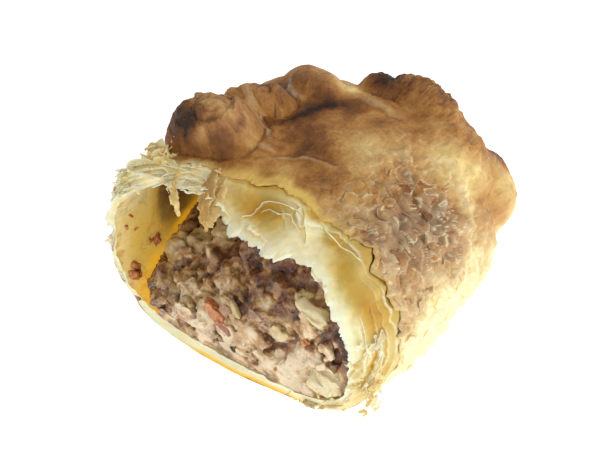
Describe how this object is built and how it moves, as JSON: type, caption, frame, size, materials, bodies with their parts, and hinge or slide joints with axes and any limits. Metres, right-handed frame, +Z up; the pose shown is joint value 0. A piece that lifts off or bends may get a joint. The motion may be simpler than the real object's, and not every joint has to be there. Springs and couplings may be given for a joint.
{
  "type": "cornish pasty",
  "caption": "Half of a baked pasty with rolled crimp folds, torn open at one end to show its meat and potato filling.",
  "frame": {"origin": "middle of the flat base that the pasty rests on", "axes": "+Z up; the torn open end faces -Y; the crimp folds run along the upper -X side and round the back"},
  "size_m": [0.1049, 0.1039, 0.0677],
  "materials": {
    "pastry": "baked flaky pastry: golden brown skin, cream leaves inside",
    "filling": "moist diced meat, potato and swede in gravy"
  },
  "bodies": {
    "root": {"crust": "pastry", "filling": "filling"}
  },
  "joints": []
}
